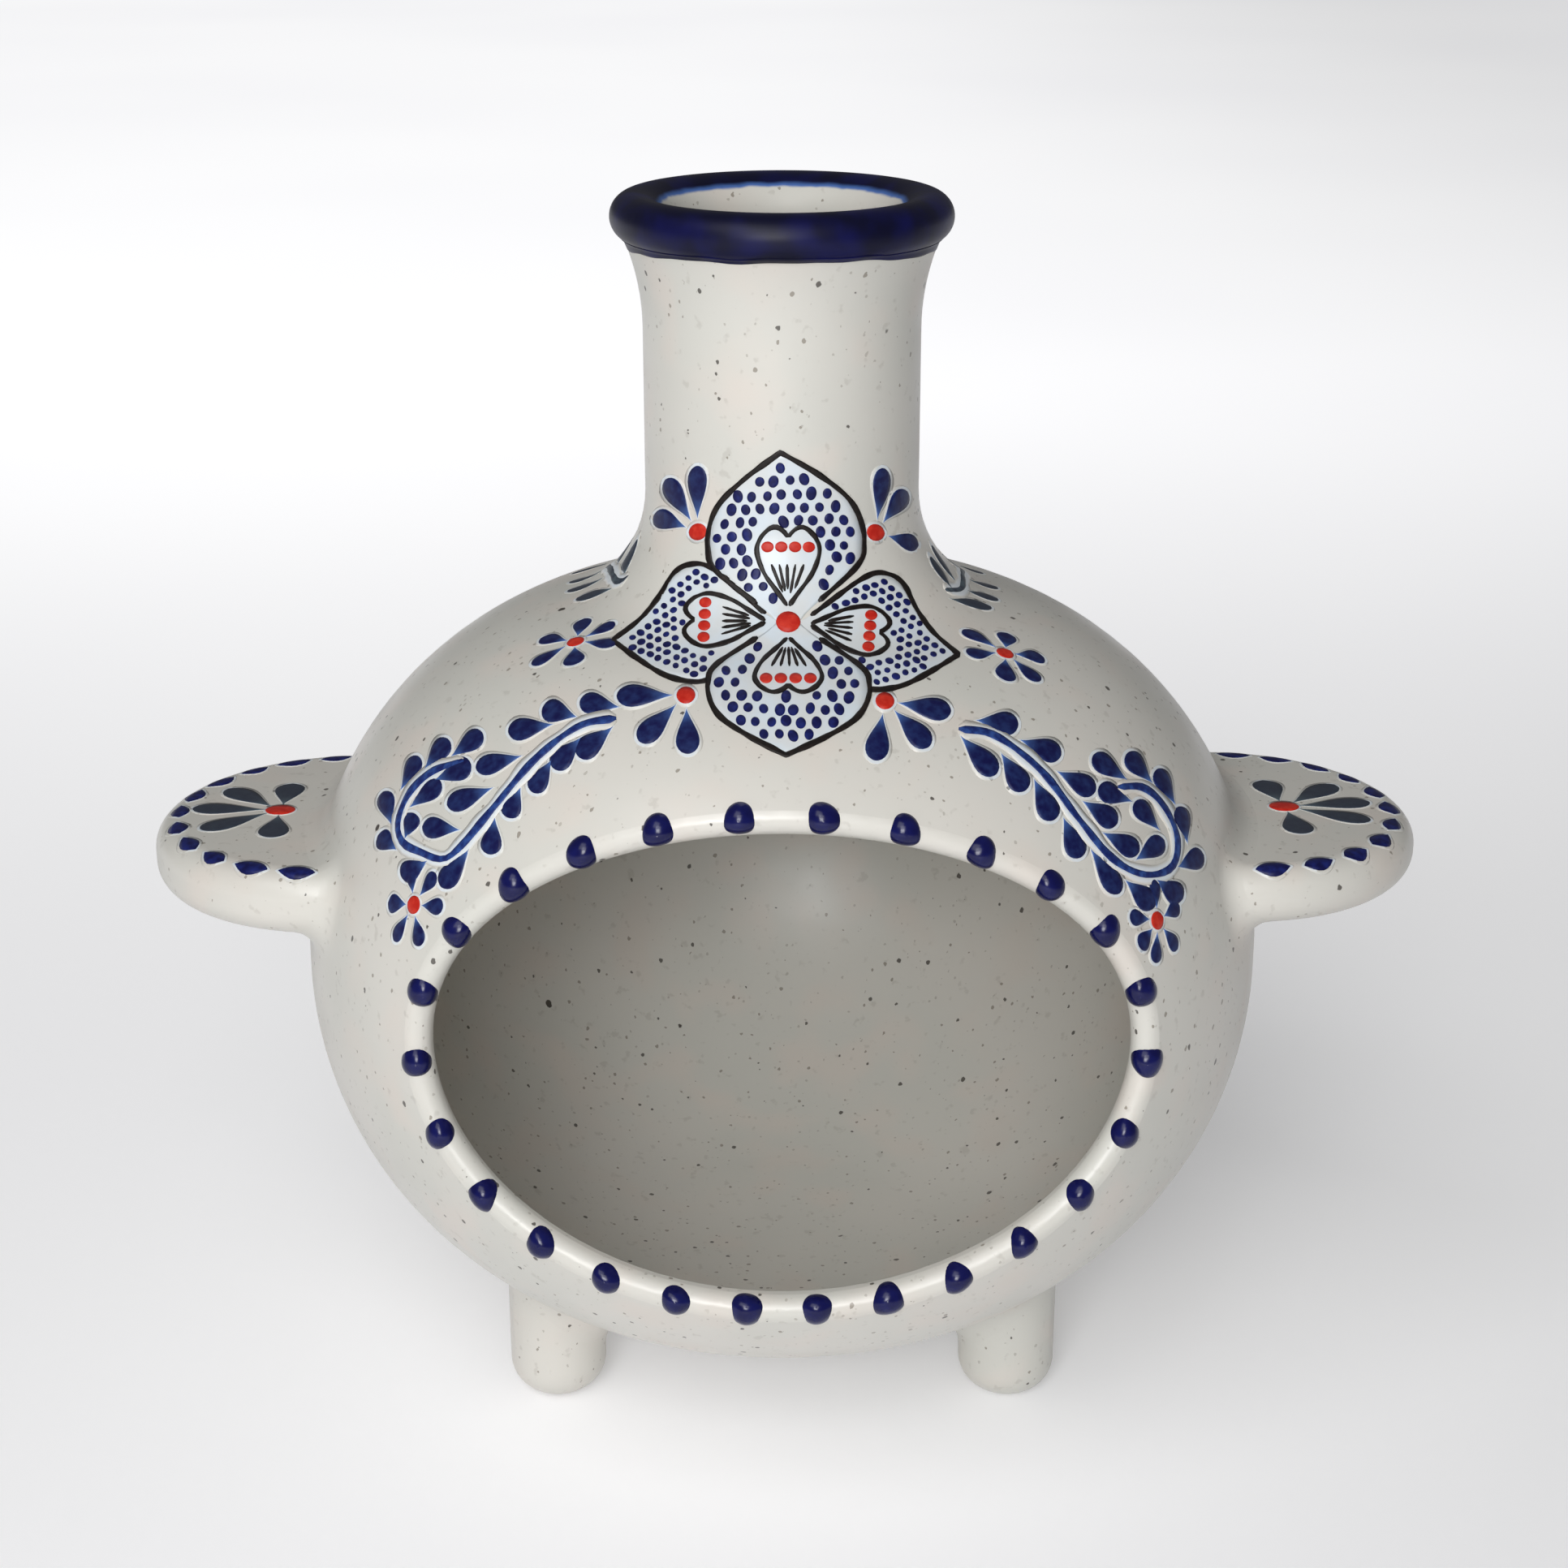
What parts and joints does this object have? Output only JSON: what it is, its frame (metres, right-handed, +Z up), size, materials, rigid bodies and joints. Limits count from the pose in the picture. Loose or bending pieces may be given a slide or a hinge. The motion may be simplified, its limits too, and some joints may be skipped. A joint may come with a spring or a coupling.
{
  "type": "pottery vase",
  "caption": "Round-bellied glazed pottery vase with a wide oval mouth in its front, a chimney neck with a rolled rim, half-disc lugs, short feet and raised glaze drops round the mouth.",
  "frame": {"origin": "on the table plane that the feet stand on, under the vertical axis of the belly and the neck", "axes": "+X to the right seen from the front, towards the right lug; +Y to the rear, so the oval mouth faces -Y; +Z up along the axis of the chimney neck"},
  "size_m": [0.2635, 0.1863, 0.25],
  "materials": {
    "speckled_glaze": "gloss",
    "cobalt_glaze": "gloss"
  },
  "bodies": {
    "root": {"belly": "speckled_glaze", "chimney_neck": "speckled_glaze", "left_lug": "speckled_glaze", "right_lug": "speckled_glaze", "front_left_foot": "speckled_glaze", "front_right_foot": "speckled_glaze", "rear_foot": "speckled_glaze", "rim_roll": "cobalt_glaze", "mouth_bead_01": "cobalt_glaze", "mouth_bead_02": "cobalt_glaze", "mouth_bead_03": "cobalt_glaze", "mouth_bead_04": "cobalt_glaze", "mouth_bead_05": "cobalt_glaze", "mouth_bead_06": "cobalt_glaze", "mouth_bead_07": "cobalt_glaze", "mouth_bead_08": "cobalt_glaze", "mouth_bead_09": "cobalt_glaze", "mouth_bead_10": "cobalt_glaze", "mouth_bead_11": "cobalt_glaze", "mouth_bead_12": "cobalt_glaze", "mouth_bead_13": "cobalt_glaze", "mouth_bead_14": "cobalt_glaze", "mouth_bead_15": "cobalt_glaze", "mouth_bead_16": "cobalt_glaze", "mouth_bead_17": "cobalt_glaze", "mouth_bead_18": "cobalt_glaze", "mouth_bead_19": "cobalt_glaze", "mouth_bead_20": "cobalt_glaze", "mouth_bead_21": "cobalt_glaze", "mouth_bead_22": "cobalt_glaze", "mouth_bead_23": "cobalt_glaze", "mouth_bead_24": "cobalt_glaze", "mouth_bead_25": "cobalt_glaze", "mouth_bead_26": "cobalt_glaze"}
  },
  "joints": []
}
